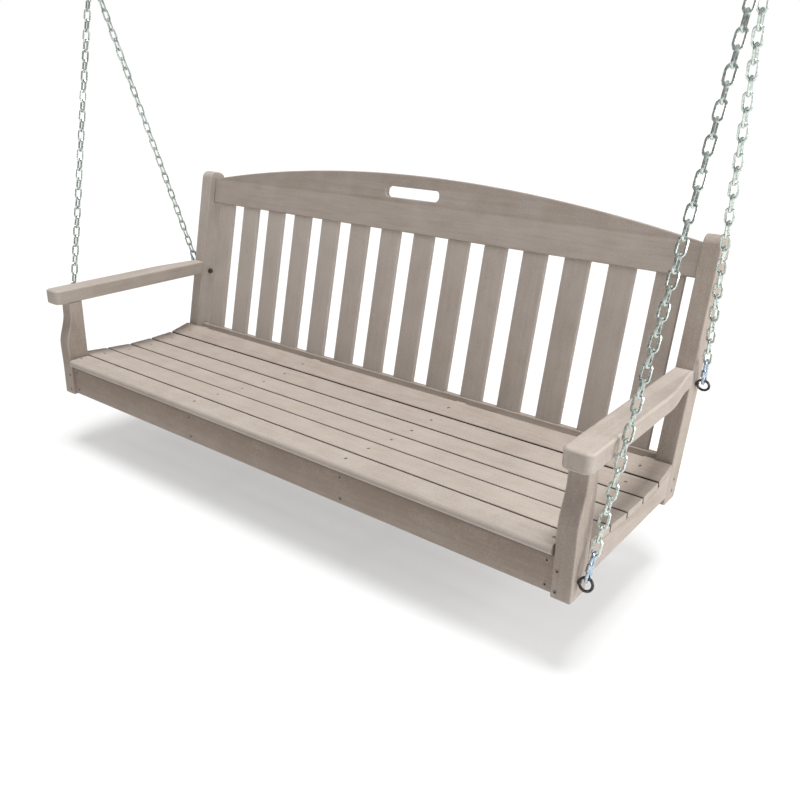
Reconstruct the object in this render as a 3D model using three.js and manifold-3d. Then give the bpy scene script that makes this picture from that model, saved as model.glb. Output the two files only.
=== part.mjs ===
// A porch swing: a slatted bench of poly lumber boards, hung on four chains.
// Millimetres, seen from the front: +X to the right, +Y to the back, +Z up.
// The bench is drawn in its own frame: y = 0 is the front posts' front face and z = 0 the lowest
// line of the seat. The whole swing is then hung so that the origin is midway between the two
// ceiling plates, on their top faces.
import * as THREE from 'three';
import * as BufferGeometryUtils from 'three/addons/utils/BufferGeometryUtils.js';
import Module from 'manifold-3d';

const wasm = await Module();
wasm.setup();

// ---- driving dimensions ----
const gap = 0.3; // between pieces that touch
const bodyHalf = 751.5; // outer faces of posts and side rails, and the slat ends
const postThick = 38;
const postInner = bodyHalf - postThick;
const edge = 3; // easing of board edges

const seatLine = [[-5, 15], [54.5, 15.2], [134, 6.5], [206, 0], [277, -1], [350, 1.2], [412.3, 15.2]];
const slatGap = 5;
const noseThick = 19;
const slatThick = 14;
const noseEndGap = 4; // front slat to post
const railBottom = -56;

const frontPost = { depth: 54, bottom: -83, foot: -3, waist: 20.5, waistFrom: 48, waistAt: 136 };
const frontPostTop = { front: 22, rear: 58, leanFrom: 17 };
const apron = { front: 6, thick: 32, bottom: -81 };
const arm = { bottom: 163.5, thick: 36, inner: 713, outer: 767, front: -12, corner: 14, taperFrom: 310 };
const rib = { thick: 27, innerX: 235 };

const rake = Math.atan(0.2223); // the back leans back from upright
const backFoot = 415.6; // front face of the back posts at z = 0
const backPost = { depth: 53, bottom: -74, top: 457, corner: 20 };
const crest = { setBack: 19.2, thick: 16, bottom: 377.3, crown: 513.1, endHeight: 68.3 };
const slot = { length: 160, height: 26, corner: 11, middle: 470 };
const lowerRail = { thick: 22, top: 21, bottom: -48 };
const backSlat = { count: 14, pitch: 101.3, width: 59, thick: 11.5, setBack: 21.7, tenon: 8 };

const eyeX = 766; // middle of each eye, outboard of the post
const frontEye = new THREE.Vector3(eyeX, 20, -46.5);
const rearEye = new THREE.Vector3(eyeX, 481.5, 166.5);
const eye = { radius: 11.6, wire: 2.6, shank: 4, bore: 4.4 };
const nut = { flats: 13, thick: 7, recess: 9, recessRadius: 9.5 };
const ringCentre = new THREE.Vector3(825, 270, 954);
const ring = { radius: 26, wire: 4 };
const link = { length: 52, width: 15, wire: 3, seat: 5.2 };
const chainRadius = 7;

const loop = { radius: 15, wire: 4.5, drop: 35 }; // the hanger's swinging eye, below its pin
const bush = { radius: 11, width: 20 };
const pin = { radius: 5, length: 40 };
const ear = { thick: 5, inside: 11, radius: 14 };
const plate = { length: 100, width: 46, thick: 6, corner: 8, hole: 4.5, holeSpacing: 76 };
const pinDrop = 26; // pin axis below the plate's top face

// ---- materials ----
function finish(color, roughness, metalness) {
  return new THREE.MeshStandardMaterial({ color, roughness, metalness });
}
const sandLumber = finish(0xa89b8e, 0.7, 0);
const blackSteel = finish(0x2a2a2c, 0.45, 0.6);
const zinc = finish(0xaab4bd, 0.35, 0.9);
const galvanised = finish(0xb9bdb8, 0.45, 0.85);
const darkSteel = finish(0x3a3c3f, 0.5, 0.7);

// ---- shape helpers ----

// A polygon whose corners are rounded by arcs; radii is one number or one per corner.
function softShape(points, radii) {
  const shape = new THREE.Shape();
  const corners = points.map((point) => new THREE.Vector2(...point));
  corners.forEach((here, i) => {
    const radius = Array.isArray(radii) ? radii[i] : radii;
    const toBefore = corners[(i + corners.length - 1) % corners.length].clone().sub(here).normalize();
    const toAfter = corners[(i + 1) % corners.length].clone().sub(here).normalize();
    const halfAngle = Math.acos(THREE.MathUtils.clamp(toBefore.dot(toAfter), -1, 1)) / 2;
    const back = radius / Math.tan(halfAngle);
    const start = here.clone().addScaledVector(toBefore, back);
    const end = here.clone().addScaledVector(toAfter, back);
    if (i === 0) shape.moveTo(start.x, start.y);
    else shape.lineTo(start.x, start.y);
    if (radius > 0) {
      const middle = toBefore.clone().add(toAfter).setLength(radius / Math.sin(halfAngle)).add(here);
      const from = Math.atan2(start.y - middle.y, start.x - middle.x);
      const to = Math.atan2(end.y - middle.y, end.x - middle.x);
      shape.absarc(middle.x, middle.y, radius, from, to, toBefore.cross(toAfter) > 0);
    }
  });
  shape.closePath();
  return shape;
}

// An extrusion centred on its thickness, with eased edges.
function slab(shape, thick, ease = edge, curveSegments = 2) {
  const geometry = new THREE.ExtrudeGeometry(shape, {
    depth: thick - 2 * ease,
    curveSegments,
    bevelEnabled: ease > 0,
    bevelThickness: ease,
    bevelSize: ease,
    bevelOffset: -ease,
    bevelSegments: 1,
  });
  return geometry.translate(0, 0, ease - thick / 2);
}

// Turn a slab drawn flat so that its outline lies in the YZ plane and its thickness runs along X.
function alongX(geometry) {
  const turn = new THREE.Matrix4().makeBasis(
    new THREE.Vector3(0, 1, 0),
    new THREE.Vector3(0, 0, 1),
    new THREE.Vector3(1, 0, 0),
  );
  return geometry.applyMatrix4(turn);
}

// Turn a slab drawn flat so that its outline lies in the XZ plane and its thickness runs along Y.
function alongY(geometry) {
  return geometry.rotateX(Math.PI / 2);
}

function solid(geometry) {
  const bare = geometry.index ? geometry.clone() : BufferGeometryUtils.mergeVertices(geometry);
  bare.deleteAttribute('normal');
  bare.deleteAttribute('uv');
  const merged = BufferGeometryUtils.mergeVertices(bare, 1e-3);
  return new wasm.Manifold(new wasm.Mesh({
    numProp: 3,
    vertProperties: new Float32Array(merged.attributes.position.array),
    triVerts: new Uint32Array(merged.index.array),
  }));
}

function fromSolid(body) {
  const mesh = body.getMesh();
  const geometry = new THREE.BufferGeometry();
  geometry.setAttribute('position', new THREE.BufferAttribute(mesh.vertProperties, 3));
  geometry.setIndex(new THREE.BufferAttribute(mesh.triVerts, 1));
  geometry.computeVertexNormals();
  return geometry;
}

function cut(geometry, ...tools) {
  return fromSolid(tools.reduce((body, tool) => body.subtract(solid(tool)), solid(geometry)));
}

function join(geometry, ...others) {
  return fromSolid(others.reduce((body, other) => body.add(solid(other)), solid(geometry)));
}

function common(geometry, other) {
  return fromSolid(solid(geometry).intersect(solid(other)));
}

function rod(radius, length, sides = 12) {
  return new THREE.CylinderGeometry(radius, radius, length, sides).rotateZ(Math.PI / 2);
}

// The closed centre line of a straight-sided link, in the XY plane with its length along Y.
class StadiumCurve extends THREE.Curve {
  constructor(length, width) {
    super();
    this.bend = width / 2;
    this.straight = length - width;
  }

  getPoint(t, target = new THREE.Vector3()) {
    const arc = Math.PI * this.bend;
    const half = this.straight + arc;
    const far = t < 0.5 ? 1 : -1;
    const along = (t < 0.5 ? t : t - 0.5) * 2 * half;
    if (along < this.straight) {
      return target.set(far * this.bend, far * (along - this.straight / 2), 0);
    }
    const angle = (along - this.straight) / this.bend;
    const x = far * this.bend * Math.cos(angle);
    const y = far * (this.straight / 2 + this.bend * Math.sin(angle));
    return target.set(x, y, 0);
  }
}

function named(name, geometry, material) {
  const mesh = new THREE.Mesh(geometry, material);
  mesh.name = name;
  return mesh;
}

const sides = [['left', -1], ['right', 1]];

// ---- seat ----

// One seat slat between two neighbouring points of the seat line, lying along X.
function seatSlat(index) {
  const [y0, z0] = seatLine[index];
  const [y1, z1] = seatLine[index + 1];
  const first = index === 0;
  const thick = first ? noseThick : slatThick;
  const angle = Math.atan2(z1 - z0, y1 - y0);
  const from = first ? 0 : slatGap / 2;
  const run = Math.hypot(y1 - y0, z1 - z0) - from - (index === seatLine.length - 2 ? 0 : slatGap / 2);
  const nose = first ? thick * 0.42 : edge;
  const outline = softShape(
    [[from, 0], [from, -thick], [from + run, -thick], [from + run, 0]],
    [nose, nose, edge, edge],
  );
  const half = first ? postInner - noseEndGap : bodyHalf;
  const mesh = named(`seat_slat_${index + 1}`, alongX(slab(outline, half * 2, 2)), sandLumber);
  mesh.rotation.x = angle;
  mesh.position.set(0, y0, z0);
  return mesh;
}

// The underside of the slats from slat `first` on, from the back to the front, as side-view points.
function slatUnderside(first, startY, endY) {
  const points = [];
  for (let i = seatLine.length - 2; i >= first; i -= 1) {
    const [y0, z0] = seatLine[i];
    const [y1, z1] = seatLine[i + 1];
    const drop = (i === 0 ? noseThick : slatThick) + gap;
    const slope = (z1 - z0) / (y1 - y0);
    const fall = drop * Math.hypot(1, slope);
    const rear = i === seatLine.length - 2 ? endY : y1;
    const front = i === first ? startY : y0;
    points.push([rear, z0 + slope * (rear - y0) - fall]);
    points.push([front, z0 + slope * (front - y0) - fall]);
  }
  return points;
}

// Where a line parallel to the back's front face, set back by n, stands at height z.
function backLine(z, n = 0) {
  return backFoot + n / Math.cos(rake) + z * Math.tan(rake);
}

// A lengthwise support whose top follows the slats; it ends on a raked face at the back.
function seatSupport(name, x, thick, startY, first, setBack) {
  const rearHeight = seatLine.at(-1)[1] - 1.2 * slatThick; // just under the last slat's back edge
  const endTop = backLine(rearHeight, setBack) - gap;
  const endBottom = backLine(railBottom, setBack) - gap;
  const top = slatUnderside(first, startY, endTop);
  const outline = softShape([[startY, railBottom], [endBottom, railBottom], ...top], 0);
  const mesh = named(name, alongX(slab(outline, thick, 0)), sandLumber);
  mesh.position.x = x;
  return mesh;
}

function seat() {
  const group = new THREE.Group();
  for (let i = 0; i < seatLine.length - 1; i += 1) group.add(seatSlat(i));
  const railStart = frontPost.depth + gap;
  const ribStart = apron.front + apron.thick + gap;
  const ribOuter = postInner - gap - rib.thick / 2;
  sides.forEach(([side, sign]) => {
    group.add(seatSupport(`${side}_side_rail`, sign * (bodyHalf - postThick / 2), postThick, railStart, 1, 0));
    group.add(seatSupport(`${side}_outer_rib`, sign * ribOuter, rib.thick, ribStart, 0, crest.setBack));
    group.add(seatSupport(`${side}_inner_rib`, sign * rib.innerX, rib.thick, ribStart, 0, crest.setBack));
  });
  const top = seatLine[0][1] - noseThick - gap;
  const outline = softShape([
    [apron.front, apron.bottom],
    [apron.front + apron.thick, apron.bottom],
    [apron.front + apron.thick, top],
    [apron.front, top],
  ], edge);
  group.add(named('front_apron', alongX(slab(outline, (postInner - gap) * 2, 0)), sandLumber));
  return group;
}

// ---- posts and arms ----

// The front post in side view: a little proud at the foot, its front edge eased back to a waist.
function frontPostOutline() {
  const top = arm.bottom - gap;
  const points = [
    [frontPostTop.rear, top],
    [frontPost.depth, frontPostTop.leanFrom],
    [frontPost.depth, frontPost.bottom],
    [frontPost.foot, frontPost.bottom],
    [0, 0],
  ];
  const steps = 7;
  for (let i = 0; i <= steps; i += 1) {
    const t = i / steps;
    const z = frontPost.waistFrom + t * (frontPost.waistAt - frontPost.waistFrom);
    points.push([frontPost.waist * (1 - Math.cos(Math.PI * t)) / 2, z]);
  }
  points.push([frontPostTop.front, top]);
  const radii = points.map((point, i) => (i === 2 || i === 3 ? 4 : 0));
  return softShape(points, radii);
}

function frontPostBody(sign) {
  const post = alongX(slab(frontPostOutline(), postThick));
  const bore = rod(eye.bore, postThick + 2).translate(0, frontEye.y, frontEye.z);
  const depth = nut.recess + 1;
  const recess = rod(nut.recessRadius, depth);
  recess.translate(-sign * (postThick / 2 + 1 - depth / 2), frontEye.y, frontEye.z);
  return cut(post, bore, recess);
}

// The back post is drawn upright in the raked frame; its foot is cut level.
function backPostBody() {
  const slope = Math.tan(rake);
  const foot = backPost.bottom / Math.cos(rake);
  const head = backPost.top / Math.cos(rake);
  const outline = softShape([
    [0, foot],
    [backPost.depth, foot + backPost.depth * slope],
    [backPost.depth, head - 4],
    [0, head - 4],
  ], [5, 5, backPost.corner, backPost.corner]);
  const post = alongX(slab(outline, postThick, edge, 5));
  const across = (rearEye.y - backFoot) * Math.cos(rake) - rearEye.z * Math.sin(rake);
  const up = (rearEye.y - backFoot) * Math.sin(rake) + rearEye.z * Math.cos(rake);
  return cut(post, rod(eye.bore, postThick + 2).translate(0, across, up));
}

// The arm's plan: straight inside, its outer edge swept in to the back post, round front corners.
function armBody(sign) {
  const top = arm.bottom + arm.thick;
  const rearHigh = backLine(top) - gap;
  const points = [[sign * arm.inner, arm.front], [sign * arm.inner, rearHigh + 5]];
  const steps = 8;
  for (let i = steps; i >= 0; i -= 1) {
    const t = i / steps;
    const y = arm.taperFrom + t * (rearHigh + 5 - arm.taperFrom);
    const inward = (arm.outer - bodyHalf) * (1 - Math.cos(Math.PI * t)) / 2;
    points.push([sign * (arm.outer - inward), y]);
  }
  points.push([sign * arm.outer, arm.front]);
  const radii = points.map((point, i) => (i === 0 || i === points.length - 1 ? arm.corner : 0));
  const plan = slab(softShape(points, radii), arm.thick, edge, 4);
  plan.translate(0, 0, arm.bottom + arm.thick / 2);
  const side = softShape([
    [arm.front - 5, arm.bottom - 5],
    [backLine(arm.bottom - 5) - gap, arm.bottom - 5],
    [backLine(top + 5) - gap, top + 5],
    [arm.front - 5, top + 5],
  ], 0);
  const middle = sign * (arm.inner + arm.outer) / 2;
  const trim = alongX(slab(side, arm.outer - arm.inner + 20, 0)).translate(middle, 0, 0);
  return common(plan, trim);
}

function postsAndArms() {
  const group = new THREE.Group();
  sides.forEach(([side, sign]) => {
    const x = sign * (bodyHalf - postThick / 2);
    const front = named(`${side}_front_post`, frontPostBody(sign), sandLumber);
    front.position.x = x;
    const back = named(`${side}_back_post`, backPostBody(), sandLumber);
    back.position.set(x, backFoot, 0);
    back.rotation.x = -rake;
    group.add(front, back, named(`${side}_arm`, armBody(sign), sandLumber));
  });
  return group;
}

// ---- back rest, drawn upright and leaned as one group ----

function slatX(index) {
  return (index - (backSlat.count - 1) / 2) * backSlat.pitch;
}

// A box the size of a slat end with clearance, for the mortises in the crest and the lower rail.
function mortise(index, up) {
  const box = new THREE.BoxGeometry(
    backSlat.width + 2 * gap,
    backSlat.thick + 2 * gap,
    2 * (backSlat.tenon + gap),
  );
  return box.translate(slatX(index), backSlat.setBack + backSlat.thick / 2, up);
}

function crestBody() {
  const half = postInner - gap;
  const sagitta = crest.crown - crest.bottom - crest.endHeight;
  const radius = (half * half + sagitta * sagitta) / (2 * sagitta);
  const reach = Math.asin(half / radius);
  const shape = new THREE.Shape();
  shape.moveTo(-half, crest.bottom);
  shape.lineTo(half, crest.bottom);
  shape.lineTo(half, crest.bottom + crest.endHeight);
  shape.absarc(0, crest.crown - radius, radius, Math.PI / 2 - reach, Math.PI / 2 + reach, false);
  shape.closePath();
  const l = slot.length / 2;
  const h = slot.height / 2;
  shape.holes.push(softShape([
    [-l, slot.middle - h],
    [-l, slot.middle + h],
    [l, slot.middle + h],
    [l, slot.middle - h],
  ], slot.corner));
  const board = alongY(slab(shape, crest.thick, 2, 12));
  board.translate(0, crest.setBack + crest.thick / 2, 0);
  const slots = Array.from({ length: backSlat.count }, (_, i) => mortise(i, crest.bottom));
  return cut(board, ...slots);
}

function lowerRailBody() {
  const outline = softShape([
    [crest.setBack, lowerRail.bottom],
    [crest.setBack + lowerRail.thick, lowerRail.bottom],
    [crest.setBack + lowerRail.thick, lowerRail.top],
    [crest.setBack, lowerRail.top],
  ], edge);
  const board = alongX(slab(outline, (postInner - gap) * 2, 0));
  const slots = Array.from({ length: backSlat.count }, (_, i) => mortise(i, lowerRail.top));
  return cut(board, ...slots);
}

function backSlatBody() {
  const low = lowerRail.top - backSlat.tenon;
  const high = crest.bottom + backSlat.tenon;
  const w = backSlat.width / 2;
  const t = backSlat.thick / 2;
  const outline = softShape([[-w, -t], [w, -t], [w, t], [-w, t]], edge);
  return slab(outline, high - low, 0).translate(0, backSlat.setBack + t, (low + high) / 2);
}

function backRest() {
  const group = new THREE.Group();
  group.add(named('crest_rail', crestBody(), sandLumber));
  group.add(named('lower_back_rail', lowerRailBody(), sandLumber));
  for (let i = 0; i < backSlat.count; i += 1) {
    const number = String(i + 1).padStart(2, '0');
    const slat = named(`back_slat_${number}`, backSlatBody(), sandLumber);
    slat.position.x = slatX(i);
    group.add(slat);
  }
  group.position.y = backFoot;
  group.rotation.x = -rake;
  return group;
}

// ---- hanging hardware ----

// An eye bolt drawn for the right side: the ring upright in the XZ plane, its shank along -X.
function eyeBoltBody(tail) {
  const hoop = new THREE.TorusGeometry(eye.radius, eye.wire, 8, 20).rotateX(Math.PI / 2);
  const from = eye.radius - 1;
  const shankLength = tail - from;
  const shank = rod(eye.shank, shankLength).translate(-(from + shankLength / 2), 0, 0);
  return join(hoop, shank);
}

function nutBody() {
  const shape = new THREE.Shape();
  const corner = nut.flats / Math.sqrt(3);
  for (let i = 0; i < 6; i += 1) {
    const angle = (i * Math.PI) / 3;
    const point = [corner * Math.cos(angle), corner * Math.sin(angle)];
    if (i === 0) shape.moveTo(...point);
    else shape.lineTo(...point);
  }
  shape.closePath();
  const hole = new THREE.Path();
  hole.absarc(0, 0, eye.bore, 0, Math.PI * 2, true);
  shape.holes.push(hole);
  return alongX(slab(shape, nut.thick, 0, 6));
}

// Turn an object drawn along Y so that it runs from one point towards another, its face along `side`.
function aim(mesh, from, to, side) {
  const along = to.clone().sub(from).normalize();
  const face = side.clone().addScaledVector(along, -side.dot(along)).normalize();
  const across = along.clone().cross(face);
  mesh.quaternion.setFromRotationMatrix(new THREE.Matrix4().makeBasis(across, along, face));
}

// The plane of one side's two chains: it holds both eyes and the ring.
function chainPlaneNormal(sign) {
  const forward = rearEye.clone().sub(frontEye);
  const up = ringCentre.clone().sub(frontEye);
  const normal = up.cross(forward).normalize();
  return new THREE.Vector3(sign * normal.x, normal.y, normal.z);
}

function chainSet(side, sign) {
  const group = new THREE.Group();
  const mirror = new THREE.Vector3(sign, 1, 1);
  const centre = ringCentre.clone().multiply(mirror);
  const normal = chainPlaneNormal(sign);
  const hoop = named(`${side}_ring`, new THREE.TorusGeometry(ring.radius, ring.wire, 8, 28), zinc);
  aim(hoop, frontEye.clone().multiply(mirror), centre, normal);
  hoop.position.copy(centre);
  group.add(hoop);
  [['front', frontEye], ['rear', rearEye]].forEach(([end, eyePoint]) => {
    const start = eyePoint.clone().multiply(mirror);
    const along = centre.clone().sub(start);
    const reach = along.length();
    along.normalize();
    const path = new StadiumCurve(link.length, link.width);
    const wire = new THREE.TubeGeometry(path, 28, link.wire, 8, true);
    const quick = named(`${side}_${end}_quick_link`, wire, zinc);
    aim(quick, start, centre, normal);
    quick.position.copy(start).addScaledVector(along, link.seat + link.length / 2);
    const low = link.seat + link.length + link.wire + gap;
    const high = reach - ring.radius - ring.wire - gap;
    const run = new THREE.CylinderGeometry(chainRadius, chainRadius, high - low, 10);
    const chain = named(`${side}_${end}_chain`, run, galvanised);
    aim(chain, start, centre, normal);
    chain.position.copy(start).addScaledVector(along, (low + high) / 2);
    group.add(quick, chain);
  });
  return group;
}

function eyesAndNuts(side, sign) {
  const group = new THREE.Group();
  const frontTail = eyeX - postInner - 1;
  const rearTail = eyeX - postInner + nut.thick + 4;
  const places = [['front', frontEye, frontTail], ['rear', rearEye, rearTail]];
  places.forEach(([end, place, tail]) => {
    const bolt = named(`${side}_${end}_eye_bolt`, eyeBoltBody(tail), blackSteel);
    bolt.position.set(sign * place.x, place.y, place.z);
    const turn = -Math.atan2(ringCentre.y - place.y, ringCentre.z - place.z); // towards the chain's pull
    bolt.rotation.set(turn, 0, sign < 0 ? Math.PI : 0);
    const nutMesh = named(`${side}_${end}_eye_nut`, nutBody(), blackSteel);
    const seatX = end === 'front' ? postInner + nut.recess : postInner;
    nutMesh.position.set(sign * (seatX - gap - nut.thick / 2), place.y, place.z);
    group.add(bolt, nutMesh);
  });
  return group;
}

// The ceiling hanger: a screwed plate with two ears, a pin, and an eye that swings on the pin.
function plateBody() {
  const l = plate.length / 2;
  const w = plate.width / 2;
  const flat = softShape([[-l, -w], [l, -w], [l, w], [-l, w]], plate.corner);
  [-1, 1].forEach((sign) => {
    const hole = new THREE.Path();
    hole.absarc((sign * plate.holeSpacing) / 2, 0, plate.hole, 0, Math.PI * 2, true);
    flat.holes.push(hole);
  });
  const body = slab(flat, plate.thick, 0, 6).translate(0, 0, -plate.thick / 2);
  const r = ear.radius;
  const root = pinDrop - plate.thick / 2;
  const tab = new THREE.Shape();
  tab.moveTo(-r, root);
  tab.lineTo(-r, 0);
  tab.absarc(0, 0, r, Math.PI, Math.PI * 2, false);
  tab.lineTo(r, root);
  tab.closePath();
  const bore = new THREE.Path();
  bore.absarc(0, 0, pin.radius + gap, 0, Math.PI * 2, true);
  tab.holes.push(bore);
  const ears = [-1, 1].map((sign) => {
    const flap = alongX(slab(tab, ear.thick, 0, 7));
    return flap.translate(sign * (ear.inside + ear.thick / 2), 0, -pinDrop);
  });
  return join(body, ...ears);
}

function swingingEyeBody() {
  const outer = new THREE.Shape();
  outer.absarc(0, 0, bush.radius, 0, Math.PI * 2, false);
  const sleeve = alongX(slab(outer, bush.width, 0, 8));
  const hoop = new THREE.TorusGeometry(loop.radius, loop.wire, 8, 22).rotateX(Math.PI / 2);
  hoop.translate(0, 0, -loop.drop);
  const neckLength = loop.drop - loop.radius;
  const neck = new THREE.CylinderGeometry(loop.wire, loop.wire + 1, neckLength, 10).rotateX(Math.PI / 2);
  neck.translate(0, 0, -neckLength / 2);
  const bore = rod(pin.radius + gap, bush.width + 2);
  return cut(join(sleeve, hoop, neck), bore);
}

function hanger(side, sign, x, y, z) {
  const group = new THREE.Group();
  const bracket = named(`${side}_ceiling_bracket`, plateBody(), darkSteel);
  bracket.position.set(sign * x, y, z);
  const bolt = named(`${side}_hanger_pin`, rod(pin.radius, pin.length), zinc);
  bolt.position.set(sign * x, y, z - pinDrop);
  const swinging = named(`${side}_swinging_eye`, swingingEyeBody(), darkSteel);
  swinging.position.set(sign * x, y, z - pinDrop);
  group.add(bracket, bolt, swinging);
  return group;
}

// ---- the whole swing ----

// The ring hangs in the swinging eye along the line of the chain plane's lean.
const eyeLineZ = frontEye.z
  + ((ringCentre.y - frontEye.y) / (rearEye.y - frontEye.y)) * (rearEye.z - frontEye.z);
const lean = (ringCentre.x - eyeX) / (ringCentre.z - eyeLineZ);
const hookX = ringCentre.x + ring.radius * Math.sin(Math.atan(lean));
const hookZ = ringCentre.z + ring.radius * Math.cos(Math.atan(lean));
const ringSeat = loop.radius - loop.wire - ring.wire - 0.6; // ring wire below the eye's middle
const plateTop = hookZ + ringSeat + loop.drop + pinDrop;

const swing = new THREE.Group();
const hung = new THREE.Group();
hung.add(seat(), postsAndArms(), backRest());
sides.forEach(([side, sign]) => {
  hung.add(eyesAndNuts(side, sign));
  hung.add(chainSet(side, sign));
  hung.add(hanger(side, sign, hookX, ringCentre.y, plateTop));
});
hung.position.set(0, -ringCentre.y, -plateTop);
swing.add(hung);

export default swing;
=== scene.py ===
import bmesh
import bpy
import numpy as np
from mathutils import Matrix, Vector
from mathutils.geometry import tessellate_polygon


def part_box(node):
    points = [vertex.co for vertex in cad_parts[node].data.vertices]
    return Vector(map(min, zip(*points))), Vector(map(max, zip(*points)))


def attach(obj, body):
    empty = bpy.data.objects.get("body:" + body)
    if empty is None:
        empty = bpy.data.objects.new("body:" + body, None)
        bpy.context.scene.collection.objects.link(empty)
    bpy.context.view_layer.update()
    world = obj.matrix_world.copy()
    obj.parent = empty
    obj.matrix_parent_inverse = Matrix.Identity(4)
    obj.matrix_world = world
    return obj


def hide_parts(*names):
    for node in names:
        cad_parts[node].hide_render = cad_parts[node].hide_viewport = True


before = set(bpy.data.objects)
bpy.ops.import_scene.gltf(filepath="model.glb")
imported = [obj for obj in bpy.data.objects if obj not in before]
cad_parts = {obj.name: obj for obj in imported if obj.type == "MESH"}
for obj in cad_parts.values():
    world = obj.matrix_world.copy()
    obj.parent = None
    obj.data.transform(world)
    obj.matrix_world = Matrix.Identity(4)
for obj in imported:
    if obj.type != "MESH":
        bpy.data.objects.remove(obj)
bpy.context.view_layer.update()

dice = np.random.default_rng(11)
print("frame loaded with", len(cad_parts), "parts")

# The bench is drawn in millimetres: y = 0 is the front posts' face at the seat, z = 0 the seat's lowest
# line. The posts' feet reach this far forward and down from there.
postFoot = (-3, -83)
postLow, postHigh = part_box("right_front_post")
benchOrigin = np.array([0.0, postLow.y - 0.001 * postFoot[0], postLow.z - 0.001 * postFoot[1]])


def toRow(points):  # bench millimetres to row metres
    return benchOrigin + 0.001 * np.asarray(points, float)


# ---- camera, floor and lights

cameraSet = {
    "place": (1.21401, -1.32415, -0.30878),
    "heading": 38.0134,  # degrees, turned from straight on towards the swing's left end
    "down": 22.3055,
    "roll": 0.572,
    "lens": 36.607,
}


def makeCamera():
    camera = bpy.data.objects.new("camera", bpy.data.cameras.new("camera"))
    bpy.context.scene.collection.objects.link(camera)
    turns = [("Z", cameraSet["heading"]), ("X", 90 - cameraSet["down"]), ("Z", cameraSet["roll"])]
    pose = Matrix.Translation(cameraSet["place"])
    for axis, degrees in turns:
        pose = pose @ Matrix.Rotation(np.radians(degrees), 4, axis)
    camera.matrix_world = pose
    camera.data.lens = cameraSet["lens"]
    camera.data.sensor_width = 36
    camera.data.clip_start = 0.05
    bpy.context.scene.camera = camera


stageSet = {
    "floorBelow": 0.15,  # the floor under the posts' feet
    "floorSize": 80.0,
    "floorColour": (0.5, 0.5, 0.5, 1),
    "floorGlow": 0.43,  # the floor is a dim light table, so the shadow on it stays pale
    "skyTop": (1.0, 1.0, 1.0, 1),
    "skyMiddle": (0.36, 0.35, 0.34, 1),
    "skyHorizon": (0.15, 0.14, 0.13, 1),
    "skyStrength": 0.62,
    "background": (1.0, 1.0, 1.0, 1),
    "suns": {  # name: strength, degrees across, where it comes from
        "sunAbove": (2.6, 19, (0.05, 0.0, 1.0)),
        "sunRight": (0.56, 50, (1.0, 0.1, 0.2)),
    },
}
lampSet = {  # name: place, aim, size, watts
    "sideRight": ((2.15, 0.15, -0.35), (0.7, 0.05, -0.95), 0.9, 16),
}


# ---- shader maths

class Signal:  # one output socket; arithmetic on it adds Math nodes
    def __init__(self, tree, socket=None):
        self.tree = tree
        self.socket = socket

    # Adds any node: its settings first, then the values or links of its sockets.
    def node(self, kind, settings, inputs, output=0):
        made = self.tree.nodes.new(kind)
        for name, value in settings.items():
            if name == "stops":
                fillRamp(made.color_ramp, value)
            else:
                setattr(made, name, value)
        for name, value in inputs.items():
            if isinstance(value, Signal):
                self.tree.links.new(value.socket, made.inputs[name])
            else:
                made.inputs[name].default_value = value
        return Signal(self.tree, made.outputs[output])

    def maths(self, operation, first, second):
        return self.node("ShaderNodeMath", {"operation": operation}, {0: first, 1: second})

    def __add__(self, other):
        return self.maths("ADD", self, other)

    def __sub__(self, other):
        return self.maths("SUBTRACT", self, other)

    def __rsub__(self, other):
        return self.maths("SUBTRACT", other, self)

    def __mul__(self, other):
        return self.maths("MULTIPLY", self, other)

    __radd__ = __add__
    __rmul__ = __mul__

    def blend(self, first, second):  # a colour between two, by this signal
        inputs = {0: self, 6: first, 7: second}
        return self.node("ShaderNodeMix", {"data_type": "RGBA"}, inputs, 2)


def fillRamp(ramp, stops):
    while len(ramp.elements) < len(stops):
        ramp.elements.new(0.5)
    for element, (position, colour) in zip(ramp.elements, stops):
        element.position = position
        element.color = colour


def linear(red, green, blue):  # an 8-bit screen colour as shader values
    screen = np.array([red, green, blue]) / 255
    return (*np.where(screen > 0.04045, ((screen + 0.055) / 1.055) ** 2.4, screen / 12.92), 1)


# Makes a material; paint(start, set) wires it, with set(socket, signal) linking the shader's sockets.
def makeMaterial(name, fixed, paint):
    material = bpy.data.materials.new(name)
    material.use_nodes = True
    tree = material.node_tree
    shader = tree.nodes["Principled BSDF"]
    for socket, value in fixed.items():
        shader.inputs[socket].default_value = value
    paint(Signal(tree), lambda socket, signal: tree.links.new(signal.socket, shader.inputs[socket]))
    return material


lumberSet = {
    "dark": linear(140, 124, 111),
    "light": linear(182, 173, 165),
    # wear and painted highlight: the paler colour that the eased edges and corners go towards
    "wornAndLit": linear(194, 184, 175),
    # painted shade: the dark brown that the slats' sides in the gaps and the apron's band under the nose
    # are mixed towards
    "grime": linear(74, 63, 54),
    "streakScale": (9, 130, 130),  # per metre, along and across the board
    "fleckScale": 1100,
    "grainScale": 260,
    "cloudScale": 18,
    "shares": {"streak": 0.36, "fleck": 0.6, "speck": 0.7, "cloud": 0.6},  # of the tone's spread
    "wearAndHighlightShare": 0.5,
    "roughness": 0.62,
    "bump": 0.2,
    "bumpDistance": 0.0006,
}
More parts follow.
